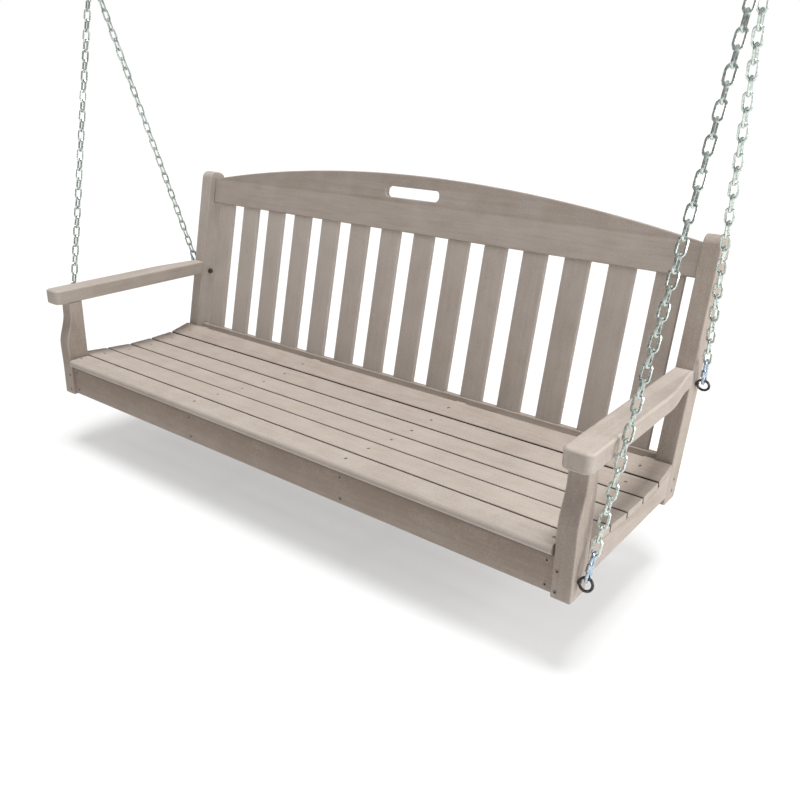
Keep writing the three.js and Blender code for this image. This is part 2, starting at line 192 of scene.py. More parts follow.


# Moulded plastic lumber: long streaks along the board, fine flecks, slow clouds, paler edges that are
# partly wear and partly painted highlight, and painted shade where a board asks for it.
def paintLumber(start, link):
    grain = start.node("ShaderNodeAttribute", {"attribute_name": "grain"}, {}, 1)
    tone = start.node("ShaderNodeAttribute", {"attribute_name": "tone"}, {}, 2)
    rub = start.node("ShaderNodeAttribute", {"attribute_name": "rub"}, {}, 2)
    grime = start.node("ShaderNodeAttribute", {"attribute_name": "grime"}, {}, 2)
    stretched = start.node("ShaderNodeMapping", {}, {0: grain, 3: lumberSet["streakScale"]})
    streak = start.node("ShaderNodeTexNoise", {}, {"Vector": stretched, "Scale": 1.0, "Detail": 4.0,
                                                   "Roughness": 0.62})
    fleck = start.node("ShaderNodeTexNoise", {}, {"Vector": grain, "Scale": lumberSet["fleckScale"],
                                                  "Detail": 2.0})
    speck = start.node("ShaderNodeTexNoise", {}, {"Vector": grain, "Scale": lumberSet["grainScale"],
                                                  "Detail": 3.0})
    cloud = start.node("ShaderNodeTexNoise", {}, {"Vector": grain, "Scale": lumberSet["cloudScale"],
                                                  "Detail": 2.0})
    shares = lumberSet["shares"]
    # the board's tone, partly its own and partly painted light, sets the colour between dark and light
    mix = tone + (streak - 0.5) * shares["streak"] + (fleck - 0.5) * shares["fleck"]
    mix = mix + (speck - 0.5) * shares["speck"] + (cloud - 0.5) * shares["cloud"]
    clipped = start.node("ShaderNodeMath", {"operation": "ADD", "use_clamp": True}, {0: mix, 1: 0.0})
    plain = clipped.blend(lumberSet["dark"], lumberSet["light"])
    # wear and painted highlight: eased edges and corners are paler, broken up by the streaks
    wornAndLitMask = start.node("ShaderNodeMath", {"operation": "MULTIPLY", "use_clamp": True},
                      {0: rub, 1: streak + 0.1})
    edged = (wornAndLitMask * lumberSet["wearAndHighlightShare"]).blend(plain, lumberSet["wornAndLit"])
    # painted shade: where the attribute asks, the colour goes to the dark brown
    link("Base Color", grime.blend(edged, lumberSet["grime"]))
    link("Roughness", lumberSet["roughness"] + streak * 0.2)
    height = streak * 0.4 + fleck * 0.3 + speck * 0.3
    bump = start.node("ShaderNodeBump", {}, {"Height": height, "Strength": lumberSet["bump"],
                                             "Distance": lumberSet["bumpDistance"]})
    link("Normal", bump)


metalSet = {  # base colour, darker patches, roughness, metallic, patch scale per metre
    "galvanisedChain": (linear(232, 238, 233), linear(176, 190, 183), 0.27, 0.95, 260),
    "zincPlate": (linear(206, 218, 228), linear(138, 158, 176), 0.24, 0.95, 180),
    "blackSteel": (linear(104, 100, 99), linear(58, 56, 56), 0.34, 0.85, 220),
    "hangerSteel": (linear(62, 64, 66), linear(42, 43, 46), 0.5, 0.7, 150),
    "screwSteel": (linear(168, 158, 148), linear(112, 104, 97), 0.4, 0.8, 900),
}


# Plated or painted steel: soft patches from noise, with a fine bump; a screw socket gets painted shade,
# near black.
def metalPainter(values):
    bright, dull, roughness, metallic, scale = values

    def paint(start, link):
        place = start.node("ShaderNodeTexCoord", {}, {}, 3)
        patch = start.node("ShaderNodeTexNoise", {}, {"Vector": place, "Scale": scale, "Detail": 3.0})
        fine = start.node("ShaderNodeTexNoise", {}, {"Vector": place, "Scale": scale * 7, "Detail": 1.0})
        depth = start.node("ShaderNodeAttribute", {"attribute_name": "depth"}, {}, 2)
        stops = [(0.35, dull), (0.68, bright)]
        skin = patch.node("ShaderNodeValToRGB", {"stops": stops}, {0: patch})
        # painted shade: where depth is 1, in a screw socket, the colour goes near black, rougher and less
        # metallic
        link("Base Color", depth.blend(skin, (0.012, 0.009, 0.007, 1)))
        link("Roughness", roughness + (patch - 0.5) * 0.3 + depth * 0.3)
        link("Metallic", metallic - depth * 0.5)
        bump = start.node("ShaderNodeBump", {}, {"Height": fine, "Strength": 0.12, "Distance": 0.0003})
        link("Normal", bump)

    return paint


def paintFloor(start, link):
    place = start.node("ShaderNodeTexCoord", {}, {}, 3)
    mottle = start.node("ShaderNodeTexNoise", {}, {"Vector": place, "Scale": 2.0})
    link("Roughness", 0.85 + mottle * 0.1)


materials = {"lumber": makeMaterial("lumber", {"Specular IOR Level": 0.35}, paintLumber)}
for metalName, metalValues in metalSet.items():
    materials[metalName] = makeMaterial(metalName, {}, metalPainter(metalValues))


def makeStage():
    half = stageSet["floorSize"] / 2
    height = postLow.z - stageSet["floorBelow"]
    corners = [(-half, -half, height), (half, -half, height), (half, half, height), (-half, half, height)]
    mesh = bpy.data.meshes.new("floor")
    mesh.from_pydata(corners, [], [(0, 1, 2, 3)])
    floor = bpy.data.objects.new("floor", mesh)
    bpy.context.scene.collection.objects.link(floor)
    fixed = {"Base Color": stageSet["floorColour"], "Emission Color": (1, 1, 1, 1),
             "Emission Strength": stageSet["floorGlow"], "Specular IOR Level": 0.0}
    mesh.materials.append(makeMaterial("paleFloor", fixed, paintFloor))
    for name, (strength, across, source) in stageSet["suns"].items():
        sun = bpy.data.lights.new(name, "SUN")
        sun.energy = strength
        sun.angle = np.radians(across)
        holder = bpy.data.objects.new(name, sun)
        holder.rotation_euler = Vector(source).to_track_quat("Z", "Y").to_euler()
        bpy.context.scene.collection.objects.link(holder)
    for name, (place, aim, size, watts) in lampSet.items():
        lamp = bpy.data.lights.new(name, "AREA")
        lamp.size = size
        lamp.energy = watts
        holder = bpy.data.objects.new(name, lamp)
        holder.location = place
        holder.rotation_euler = (Vector(aim) - Vector(place)).to_track_quat("-Z", "Y").to_euler()
        bpy.context.scene.collection.objects.link(holder)


# The sky is paler overhead than at the horizon; seen directly it is plain white.
def makeSky():
    world = bpy.data.worlds.new("studio")
    bpy.context.scene.world = world
    world.use_nodes = True
    tree = world.node_tree
    tree.nodes.clear()
    start = Signal(tree)
    direction = start.node("ShaderNodeTexCoord", {}, {}, 0)
    upward = start.node("ShaderNodeSeparateXYZ", {}, {0: direction}, 2)
    stops = [(0.0, stageSet["skyHorizon"]), (0.35, stageSet["skyMiddle"]), (0.88, stageSet["skyTop"])]
    tint = start.node("ShaderNodeValToRGB", {"stops": stops}, {0: upward})
    soft = start.node("ShaderNodeBackground", {}, {0: tint, 1: stageSet["skyStrength"]})
    plain = start.node("ShaderNodeBackground", {}, {0: stageSet["background"], 1: 1.0})
    seen = start.node("ShaderNodeLightPath", {}, {}, 0)
    both = start.node("ShaderNodeMixShader", {}, {0: seen, 1: soft, 2: plain})
    output = tree.nodes.new("ShaderNodeOutputWorld")
    tree.links.new(both.socket, output.inputs[0])
    bpy.context.scene.view_settings.view_transform = "Standard"


makeCamera()
makeStage()
makeSky()
print("camera, floor and lights are set")


# ---- surfaces

# Puts a surface into a new piece that rides a body and stands for CAD nodes; points are in metres.
def addPiece(name, points, faces, material, body, nodes, attributes=None):
    mesh = bpy.data.meshes.new(name)
    mesh.from_pydata(points.tolist(), [], faces)
    for key, values in (attributes or {}).items():
        values = np.asarray(values, np.float32)
        kind = "FLOAT_VECTOR" if values.ndim == 2 else "FLOAT"
        layer = mesh.attributes.new(key, kind, "POINT")
        layer.data.foreach_set("vector" if values.ndim == 2 else "value", values.ravel())
    work = bmesh.new()
    work.from_mesh(mesh)
    bmesh.ops.remove_doubles(work, verts=work.verts, dist=1e-6)
    bmesh.ops.recalc_face_normals(work, faces=work.faces)
    work.to_mesh(mesh)
    work.free()
    mesh.polygons.foreach_set("use_smooth", np.ones(len(mesh.polygons), bool))
    mesh.set_sharp_from_angle(angle=np.radians(38))
    piece = bpy.data.objects.new(name, mesh)
    bpy.context.scene.collection.objects.link(piece)
    mesh.materials.append(materials[material])
    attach(piece, body)
    if nodes:
        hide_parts(*nodes)
    return piece


# A polygon with each corner turned into an arc that touches both its edges.
def softLoop(corners, radii, steps=4):
    corners = np.array(corners, float)
    stretches = []
    for i, radius in enumerate(np.broadcast_to(radii, len(corners))):
        here = corners[i]
        before = corners[i - 1] - here
        after = corners[(i + 1) % len(corners)] - here
        before /= np.linalg.norm(before)
        after /= np.linalg.norm(after)
        if radius == 0:
            stretches.append(here[None])
            continue
        half = np.arccos(np.clip(before @ after, -1, 1)) / 2
        inward = (before + after) / np.linalg.norm(before + after)
        middle = here + inward * radius / np.sin(half)
        first = here + before * radius / np.tan(half) - middle
        last = here + after * radius / np.tan(half) - middle
        begin = np.arctan2(first[1], first[0])
        turn = (np.arctan2(last[1], last[0]) - begin + np.pi) % (2 * np.pi) - np.pi
        angle = begin + turn * np.linspace(0, 1, steps + 1)
        stretches.append(middle + radius * np.stack([np.cos(angle), np.sin(angle)], 1))
    return np.vstack(stretches)


def circleLoop(middle, radius, count=24):
    angle = np.linspace(0, 2 * np.pi, count, endpoint=False)
    return np.array(middle) + radius * np.stack([np.cos(angle), np.sin(angle)], 1)


# Each corner's outward step for a unit offset: the two edge normals' sum over 1 + their dot product.
def mitres(loop):
    edge = np.roll(loop, -1, 0) - loop
    normal = np.stack([edge[:, 1], -edge[:, 0]], 1) / np.linalg.norm(edge, axis=1)[:, None]
    before = np.roll(normal, 1, 0)
    agree = (normal * before).sum(1)
    return (normal + before) / (1 + agree)[:, None], agree


def signedArea(loop):
    after = np.roll(loop, -1, 0)
    return 0.5 * np.sum(loop[:, 0] * after[:, 1] - loop[:, 1] * after[:, 0])


# A board: loops stacked through its thickness, stepping in by ease·(1 − sin a) as they rise by
# ease·(1 − cos a), so that the edge is a quarter circle; a guard ring each side keeps the faces flat.
def easedBoard(loops, low, high, ease, steps=3, shadeAmount=0):
    angle = np.linspace(0, np.pi / 2, steps + 1)
    guard = 0.3 * ease
    rise = np.r_[0, ease * (1 - np.cos(angle)), ease + guard]
    inset = np.r_[ease + guard, ease * (1 - np.sin(angle)), 0]
    # wear and painted highlight: each rounding is marked paler, most at its middle
    wornAndLit = np.r_[0, 0.35 + 0.65 * np.sin(2 * angle), 0]
    heights = np.r_[low + rise, (high - rise)[::-1]]
    insets = np.r_[inset, inset[::-1]]
    edgeWearAndHighlight = np.r_[wornAndLit, wornAndLit[::-1]]
    runs = np.r_[np.zeros(steps + 2), 1]
    runs = np.r_[runs, runs[::-1]]
    points, faces, rub, grime, rims = [], [], [], [], []
    begin = 0
    for k, loop in enumerate(loops):
        if (signedArea(loop) > 0) != (k == 0):
            loop = loop[::-1]
            shadeAmount = shadeAmount[::-1] if np.ndim(shadeAmount) else shadeAmount
        outward, agree = mitres(loop)
        ring = loop[None] - insets[:, None, None] * outward[None]
        level = np.broadcast_to(heights[:, None, None], (*ring.shape[:2], 1))
        points.append(np.concatenate([ring, level], 2).reshape(-1, 3))
        # outline corners are marked paler too, as wear and painted highlight
        corner = np.clip((1 - agree) * 40, 0, 1)
        rub.append(np.maximum(edgeWearAndHighlight[:, None], corner[None]).ravel())
        # painted shade: the rows at the flat faces carry the board's shade amount
        grime.append((runs[:, None] * np.broadcast_to(shadeAmount, len(loop))).ravel())
        index = begin + np.arange(ring.shape[0] * len(loop)).reshape(-1, len(loop))
        after = np.roll(index, -1, 1)
        faces += np.stack([index[:-1], after[:-1], after[1:], index[1:]], -1).reshape(-1, 4).tolist()
        rims.append(index)
        begin += index.size
    points = np.vstack(points)
    for level in (0, -1):
        ends = np.concatenate([index[level] for index in rims])
        if len(loops) == 1:
            faces.append(ends.tolist())
        else:
            outlines = [[Vector(points[i]) for i in index[level]] for index in rims]
            faces += [[int(ends[i]) for i in face] for face in tessellate_polygon(outlines)]
    return points, faces, {"rub": np.concatenate(rub), "grime": np.concatenate(grime)}


# ---- the boards' places: local (u, v, w) to bench (x, y, z)

lean = {"rake": np.arctan(0.2223), "foot": 415.6}


def leaned(x, n, v):  # n is the distance behind the back's front plane, v the height up its slope
    sine, cosine = np.sin(lean["rake"]), np.cos(lean["rake"])
    return np.stack([x, lean["foot"] + v * sine + n * cosine, v * cosine - n * sine], 1)


def sideView(local):  # the outline is (y, z) and the run is x
    return local[:, [2, 0, 1]]


def leanedSide(local):  # the outline is (n, v) and the run is x
    return leaned(local[:, 2], local[:, 0], local[:, 1])


def leanedFront(local):  # the outline is (x, v) and the run is n
    return leaned(local[:, 0], local[:, 2], local[:, 1])


def leanedSection(local):  # the outline is (x, n) and the run is v
    return leaned(local[:, 0], local[:, 1], local[:, 2])


# One lumber board; along names the local axis that its grain follows. Its tone is partly the lumber's own,
# a small random spread, and partly painted light: each piece's offset makes it lighter or darker as the
# light falls on it.
def addBoard(name, loops, low, high, ease, toBench, along, steps=3, tone=0.0, shadeAmount=0):
    local, faces, attributes = easedBoard(loops, low, high, ease, steps, shadeAmount)
    order = [along, (along + 1) % 3, (along + 2) % 3]
    grain = 0.001 * local[:, order] + dice.uniform(-20, 20, 3)
    shade = np.full(len(local), 0.5 + tone + dice.uniform(-0.07, 0.07))
    attributes |= {"grain": grain, "tone": shade}
    return addPiece(name + "_board", toRow(toBench(local)), faces, "lumber", "bench", [name],
                    attributes)


seatSet = {
    "line": [[-5, 15], [54.5, 15.2], [134, 6.5], [206, 0], [277, -1], [350, 1.2], [412.3, 15.2]],
    "gap": 5,
    "noseThick": 19,
    "noseRound": 8,
    "thick": 14,
    "edge": 2.2,
    "half": 751.5,
    "noseHalf": 709.5,
    # painted light: the seat slats are painted a little lighter than the middle tone
    "tone": 0.22,
    "shadeStep": -0.08,  # painted shade: each slat further back is painted darker
    "endRound": 1.2,
}
railSet = {"bottom": -56, "postBack": 54.3, "railX": 732.5, "railThick": 38, "ribThick": 27,
           "outerRibX": 699.7, "innerRibX": 235, "joint": 0.3, "round": 1.2}
# painted shade: the apron's tone is lowered, as it stands under the slats' nose
apronSet = {"front": 6, "thick": 32, "bottom": -81, "top": -4.3, "round": 3, "half": 713.2,
            "tone": -0.45, "shadeDepth": 12, "shadeAmount": 0.5}


def addSeatSlats():
    line = np.array(seatSet["line"])
    for i, (start, end) in enumerate(zip(line[:-1], line[1:])):
        nose = i == 0
        last = i == len(line) - 2
        thick = seatSet["noseThick"] if nose else seatSet["thick"]
        run = np.linalg.norm(end - start)
        front = 0 if nose else seatSet["gap"] / 2
        rear = run if last else run - seatSet["gap"] / 2
        frontRound = seatSet["noseRound"] if nose else seatSet["edge"]
        radii = [frontRound, frontRound, seatSet["edge"], seatSet["edge"]]
        flat = softLoop([[front, 0], [front, -thick], [rear, -thick], [rear, 0]], radii, 6 if nose else 4)
        forward = (end - start) / run
        upward = np.array([-forward[1], forward[0]])
        outline = start + flat[:, :1] * forward + flat[:, 1:] * upward
        half = seatSet["noseHalf"] if nose else seatSet["half"]
        # painted shade: the slats' sides and undersides, from 1.2 mm under the top, are darkened as in the
        # gaps, all but the front half of the nose
        shadeAmount = np.clip(-flat[:, 1] - 1.2, 0, 1) * ((flat[:, 0] > run / 2) | (not nose))
        addBoard(f"seat_slat_{i + 1}", [outline], -half, half, seatSet["endRound"], sideView, 2,
                 tone=seatSet["tone"] + seatSet["shadeStep"] * i, shadeAmount=shadeAmount)


# The top line of a support: just under the slats, from the back edge to the front.
def slatUnderside(first, startY, endY):
    line = np.array(seatSet["line"])
    top = []
    for i in range(len(line) - 2, first - 1, -1):
        slope = (line[i + 1][1] - line[i][1]) / (line[i + 1][0] - line[i][0])
        drop = (seatSet["noseThick"] if i == 0 else seatSet["thick"]) + railSet["joint"]
        fall = drop * np.hypot(1, slope)
        for y in (endY if i == len(line) - 2 else line[i + 1][0], startY if i == first else line[i][0]):
            top.append([y, line[i][1] + slope * (y - line[i][0]) - fall])
    return top


def backLine(z, n):  # where the plane n behind the back's front face stands at height z
    return lean["foot"] + n / np.cos(lean["rake"]) + z * np.tan(lean["rake"])


def addSupports():
    ribStart = apronSet["front"] + apronSet["thick"] + railSet["joint"]
    kinds = [
        ("side_rail", railSet["railX"], railSet["railThick"], railSet["postBack"], 1, 0),
        ("outer_rib", railSet["outerRibX"], railSet["ribThick"], ribStart, 0, crestSet["setBack"]),
        ("inner_rib", railSet["innerRibX"], railSet["ribThick"], ribStart, 0, crestSet["setBack"]),
    ]
    rearHeight = seatSet["line"][-1][1] - 1.2 * seatSet["thick"]
    for kind, x, thick, startY, first, setBack in kinds:
        endTop = backLine(rearHeight, setBack) - railSet["joint"]
        endBottom = backLine(railSet["bottom"], setBack) - railSet["joint"]
        corners = [[startY, railSet["bottom"]], [endBottom, railSet["bottom"]]]
        corners += slatUnderside(first, startY, endTop)
        outline = np.array(corners)
        keep = np.linalg.norm(outline - np.roll(outline, 1, 0), axis=1) > 0.6
        for side, sign in (("left", -1), ("right", 1)):
            middle = sign * x
            addBoard(f"{side}_{kind}", [outline[keep]], middle - thick / 2, middle + thick / 2,
                     railSet["round"], sideView, 0)


def addApron():
    rear = apronSet["front"] + apronSet["thick"]
    # painted shade: a band along the top of the apron's front, under the slats' nose, is darkened
    shadeLimit = apronSet["top"] - apronSet["shadeDepth"]
    outline = softLoop([[apronSet["front"], apronSet["bottom"]], [rear, apronSet["bottom"]],
                        [rear, apronSet["top"]], [apronSet["front"], apronSet["top"]],
                        [apronSet["front"], shadeLimit]], [apronSet["round"]] * 4 + [0])
    shadeAmount = apronSet["shadeAmount"] * (outline[:, 1] > shadeLimit + 1)
    addBoard("front_apron", [outline], -apronSet["half"], apronSet["half"], 1.0, sideView, 2,
             tone=apronSet["tone"], shadeAmount=shadeAmount)


# painted shade: the front posts' tone is lowered
frontPostSet = {"outer": 751.5, "thick": 38, "depth": 54, "top": 163.2, "waist": 20.5,
                "waistFrom": 48, "waistAt": 136, "topFront": 22, "topRear": 58, "leanFrom": 17,
                "round": 3.0, "tone": -0.12}
# painted light: each back post gets its own tone offset, the left one lighter and the right one darker
backPostSet = {"depth": 53, "bottom": -74, "top": 457, "headRound": 20, "footRound": 5, "round": 3.0,
               "tonesAndLight": {"left": 0.4, "right": -0.1}}
# painted light: each arm gets its own tone offset, the left one lighter
armSet = {"inner": 713, "outer": 767, "front": -12, "bottom": 163.5, "thick": 36, "corner": 14,
          "taperFrom": 310, "round": 4.5,
          "tonesAndLight": {"left": 0.22, "right": 0.1}}


# Side view: a little proud at the foot, the front edge eased back to the waist by half a cosine wave.
def addFrontPosts():
    t = np.linspace(0, 1, 15)
    waveStart, waveEnd = frontPostSet["waistFrom"], frontPostSet["waistAt"]
    inward = frontPostSet["waist"] * (1 - np.cos(np.pi * t)) / 2
    bend = np.stack([inward, waveStart + t * (waveEnd - waveStart)], 1)
    depth, top = frontPostSet["depth"], frontPostSet["top"]
    front, bottom = postFoot
    foot = softLoop([[0, 0], [front, bottom], [depth, bottom], [depth, frontPostSet["leanFrom"]]],
                    [0, 4, 4, 0])
    ends = [[frontPostSet["topRear"], top], [frontPostSet["topFront"], top]]
    outline = np.vstack([ends, bend[::-1], foot])
    outer, inner = frontPostSet["outer"], frontPostSet["outer"] - frontPostSet["thick"]
    for side, low, high in (("left", -outer, -inner), ("right", inner, outer)):
        addBoard(f"{side}_front_post", [outline], low, high, frontPostSet["round"], sideView, 1,
                 tone=frontPostSet["tone"])


# The foot is cut level, so its line slopes in the leaned frame; the head is a pair of large arcs.
def addBackPosts():
    slope = np.tan(lean["rake"])
    foot = backPostSet["bottom"] / np.cos(lean["rake"])
    head = backPostSet["top"] / np.cos(lean["rake"]) - 4
    depth = backPostSet["depth"]
    radii = [backPostSet["footRound"]] * 2 + [backPostSet["headRound"]] * 2
    outline = softLoop([[0, foot], [depth, foot + depth * slope], [depth, head], [0, head]], radii, 9)
    outer, inner = frontPostSet["outer"], frontPostSet["outer"] - frontPostSet["thick"]
    for side, low, high in (("left", -outer, -inner), ("right", inner, outer)):
        addBoard(f"{side}_back_post", [outline], low, high, backPostSet["round"], leanedSide, 1,
                 tone=backPostSet["tonesAndLight"][side])


# Plan: the outer edge swept in by half a cosine wave; the rear end leans with the back post.
def addArms():
    bottom, top = armSet["bottom"], armSet["bottom"] + armSet["thick"]
    middle = (bottom + top) / 2
    rear = backLine(middle, 0) - 0.3
    t = np.linspace(1, 0, 17)
    sweep = (armSet["outer"] - frontPostSet["outer"]) * (1 - np.cos(np.pi * t)) / 2
    bend = np.stack([armSet["outer"] - sweep, armSet["taperFrom"] + t * (rear - armSet["taperFrom"])], 1)
    nose = softLoop([[armSet["outer"], 60], [armSet["outer"], armSet["front"]],
                     [armSet["inner"], armSet["front"]], [armSet["inner"], 60]],
                    [0, armSet["corner"], armSet["corner"], 0], 7)[1:-1]
    plan = np.vstack([[[armSet["inner"], rear]], bend, nose])

    def seated(local):  # slides the rear end back with height, to meet the leaning post
        share = np.clip((local[:, 1] - armSet["taperFrom"]) / (rear - armSet["taperFrom"] - 12), 0, 1)
        bent = local.copy()
        bent[:, 1] += share * (local[:, 2] - middle) * np.tan(lean["rake"])
        return bent

    for side, sign in (("left", -1), ("right", 1)):
        addBoard(f"{side}_arm", [plan * [sign, 1]], bottom, top, armSet["round"], seated, 1, 5,
                 armSet["tonesAndLight"][side])


crestSet = {"half": 713.2, "setBack": 19.2, "thick": 16, "bottom": 377.3, "crown": 513.1,
            "endHeight": 68.3, "round": 2.6, "slotLength": 160, "slotHeight": 26, "slotCorner": 11,
            "slotMiddle": 470}
# painted shade: the lower back rail's tone is lowered
lowerRailSet = {"thick": 22, "top": 21, "bottom": -48, "round": 3, "tone": -0.4}
# painted light: the back slats are painted lighter than the middle tone, and each one further right darker
backSlatSet = {"count": 14, "pitch": 101.3, "width": 59, "thick": 11.5, "setBack": 21.7, "tenon": 8,
               "round": 2.4, "tone": 0.5, "shadeStep": -0.035}


# The crest's top edge is one arc through both ends and the crown.
def addCrest():
    half, bottom = crestSet["half"], crestSet["bottom"]
    rise = crestSet["crown"] - bottom - crestSet["endHeight"]
    radius = (half**2 + rise**2) / (2 * rise)
    reach = np.arcsin(half / radius)
    sweep = np.linspace(reach, -reach, 61)[::-1]
    top = np.stack([radius * np.sin(sweep), crestSet["crown"] - radius * (1 - np.cos(sweep))], 1)
    outline = np.vstack([[[half, bottom]], top[::-1], [[-half, bottom]]])
    long, high = crestSet["slotLength"] / 2, crestSet["slotHeight"] / 2
    middle = crestSet["slotMiddle"]
    hole = softLoop([[-long, middle - high], [long, middle - high], [long, middle + high],
                     [-long, middle + high]], crestSet["slotCorner"], 9)
    front = crestSet["setBack"]
    # painted light: the crest gets a small tone offset of its own
    addBoard("crest_rail", [outline, hole], front, front + crestSet["thick"], crestSet["round"],
             leanedFront, 0, tone=0.02)


def addBackRest():
    front, rear = crestSet["setBack"], crestSet["setBack"] + lowerRailSet["thick"]
    low, high = lowerRailSet["bottom"], lowerRailSet["top"]
    outline = softLoop([[front, low], [rear, low], [rear, high], [front, high]], lowerRailSet["round"])
    addBoard("lower_back_rail", [outline], -crestSet["half"], crestSet["half"], 1.0, leanedSide, 2,
             tone=lowerRailSet["tone"])
    halfWidth, near = backSlatSet["width"] / 2, backSlatSet["setBack"]
    far = near + backSlatSet["thick"]
    for i in range(backSlatSet["count"]):
        x = (i - (backSlatSet["count"] - 1) / 2) * backSlatSet["pitch"]
        left, right = x - halfWidth, x + halfWidth
        section = softLoop([[left, near], [right, near], [right, far], [left, far]],
                           backSlatSet["round"])
        addBoard(f"back_slat_{i + 1:02d}", [section], high - backSlatSet["tenon"],
                 crestSet["bottom"] + backSlatSet["tenon"], 0.8, leanedSection, 2,
                 tone=backSlatSet["tone"] + backSlatSet["shadeStep"] * i)


addSeatSlats()
addSupports()
addApron()
addFrontPosts()
addBackPosts()
addArms()
addCrest()
addBackRest()
print("boards are made")


# ---- wire and turned shapes; local x, y, z in millimetres

# A round wire: circles of the wire's radius round a closed flat path in the xy plane, facing its way.
def wire(path, radius, sides=10):
    ahead = np.roll(path, -1, 0) - np.roll(path, 1, 0)
    ahead = ahead / np.linalg.norm(ahead, axis=1)[:, None]
    outward = np.stack([ahead[:, 1], -ahead[:, 0], np.zeros(len(path))], 1)
    angle = np.linspace(0, 2 * np.pi, sides, endpoint=False)
    around = np.cos(angle)[None, :, None] * outward[:, None] + np.sin(angle)[None, :, None] * [0, 0, 1]
    centre = np.concatenate([path, np.zeros((len(path), 1))], 1)[:, None]
    return gridMesh(centre + radius * around, True)


# Quads over a grid that closes round its second way, and round its first way too if it is closed;
# an open grid is capped at both ends.
def gridMesh(grid, closed):
    rows, columns = grid.shape[:2]
    index = np.arange(rows * columns).reshape(rows, columns)
    side = np.roll(index, -1, 1)
    after = np.roll(index, -1, 0)
    afterSide = np.roll(side, -1, 0)
    quads = np.stack([index, side, afterSide, after], -1)
    if not closed:
        quads = quads[:-1]
    faces = quads.reshape(-1, 4).tolist()
    if not closed:
        faces += [index[0].tolist(), index[-1].tolist()]
    return grid.reshape(-1, 3), faces


# A turned piece: each (radius, height) of the profile goes once round the local z axis. The radius
# may also be a row of values, one per angle.
def turned(profile, sides=24, closed=False):
    angle = np.linspace(0, 2 * np.pi, sides, endpoint=False)
    rows = [np.stack([r * np.cos(angle), r * np.sin(angle), np.full(sides, z)], 1) for r, z in profile]
    return gridMesh(np.array(rows), closed)


# The stadium path of a link: two half circles joined by straights, length along y.
def stadium(length, width, bendSteps=6, straightSteps=1):
    bend, straight = width / 2, (length - width) / 2
    angle = np.linspace(0, np.pi, bendSteps + 1)
    top = np.stack([bend * np.cos(angle), straight + bend * np.sin(angle)], 1)
    rest = np.linspace(1, -1, straightSteps + 1)[1:-1]
    down = np.stack([np.full(len(rest), -bend), straight * rest], 1)
    half = np.vstack([top, down])
    return np.vstack([half, -half])


def merged(parts):  # several (points, faces) as one
    points, faces, begin = [], [], 0
    for own, ownFaces in parts:
        points.append(own)
        faces += [[i + begin for i in face] for face in ownFaces]
        begin += len(own)
    return np.vstack(points), faces


def unit(vector):
    return vector / np.linalg.norm(vector)


# Local millimetres put at a row point, with local x, y and z along three row directions.
def placed(points, centre, across, along, face):
    return centre + 0.001 * points @ np.array([across, along, face])


def boxMiddle(node):
    low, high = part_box(node)
    return np.array((low + high) / 2)


chainSet = {"wire": 2.5, "length": 34.6, "width": 19.2, "pitch": 24.6, "sides": 6, "wobble": 5.0}
quickSet = {"length": 52, "width": 15, "wire": 3, "seat": 5.2, "sleeveFlats": 9.4, "sleeveLength": 14,
            "threadDepth": 0.28, "threadStep": 0.4, "threadRings": 9}
eyeSet = {"radius": 11.6, "wire": 2.6, "shank": 4, "thread": 1.25, "threadDepth": 0.45, "plain": 8}
nutSet = {"flats": 13, "thick": 7, "bore": 4.1}
ringSet = {"radius": 26, "wire": 4}


# One chain run: link i stands i pitches up the line, every other one turned a quarter, with a
# small random roll, as a chain hangs; all the links are one array of shape (links, points, 3).
def addChain(name, body, eye, ring, across, along, face):
    reach = 1000 * np.linalg.norm(ring - eye)
    wireRadius = chainSet["wire"]
    low = quickSet["seat"] + quickSet["length"] - quickSet["wire"] - wireRadius - 0.3
    high = reach - ringSet["radius"] + ringSet["wire"] + wireRadius + 0.2
    half = (high - low - 2 * wireRadius) / chainSet["pitch"] / 2
    count = 2 * int(np.ceil(half - 0.5)) + 1
    pitch = (high - low - 2 * wireRadius) / count
    centreLength = chainSet["length"] - 2 * wireRadius
    template, faces = wire(stadium(centreLength, chainSet["width"] - 2 * wireRadius, 7), wireRadius,
                           chainSet["sides"])
    number = np.arange(count)
    roll = np.pi / 2 * ((number + 1) % 2) + np.radians(dice.uniform(-1, 1, count) * chainSet["wobble"])
    acrossOf = np.cos(roll)[:, None] * across + np.sin(roll)[:, None] * face
    faceOf = np.cos(roll)[:, None] * face - np.sin(roll)[:, None] * across
    middle = low + centreLength / 2 + (number * pitch)
    centre = eye + 0.001 * middle[:, None] * along
    x, y, z = 0.001 * template.T
    sideways = x[:, None] * acrossOf[:, None] + z[:, None] * faceOf[:, None]
    points = centre[:, None] + sideways + y[:, None] * along
    allFaces = (np.array(faces)[None] + (number * len(template))[:, None, None]).reshape(-1, 4).tolist()
    addPiece(name + "_links", points.reshape(-1, 3), allFaces, "galvanisedChain", body, [name])
    return count


# A six-sided bar whose corners are cut by a cone at both ends: radius = min(hexagon, cone).
def hexProfile(flats, thick, bore, sides=48):
    angle = np.linspace(0, 2 * np.pi, sides, endpoint=False)
    hexagon = flats / 2 / np.cos(angle % (np.pi / 3) - np.pi / 6)
    corner = flats / np.sqrt(3)
    steps = np.array([0.0, 0.35, 0.7, 1.1])
    cone = flats / 2 * 0.97 + steps * 1.75
    rings = [(np.minimum(hexagon, min(c, corner)), z) for c, z in zip(cone, steps)]
    rings += [(r, thick - z) for r, z in rings[::-1]]
    return [(bore, 0.5), (bore + 0.6, 0.0)] + rings + [(bore + 0.6, thick), (bore, thick - 0.5)]


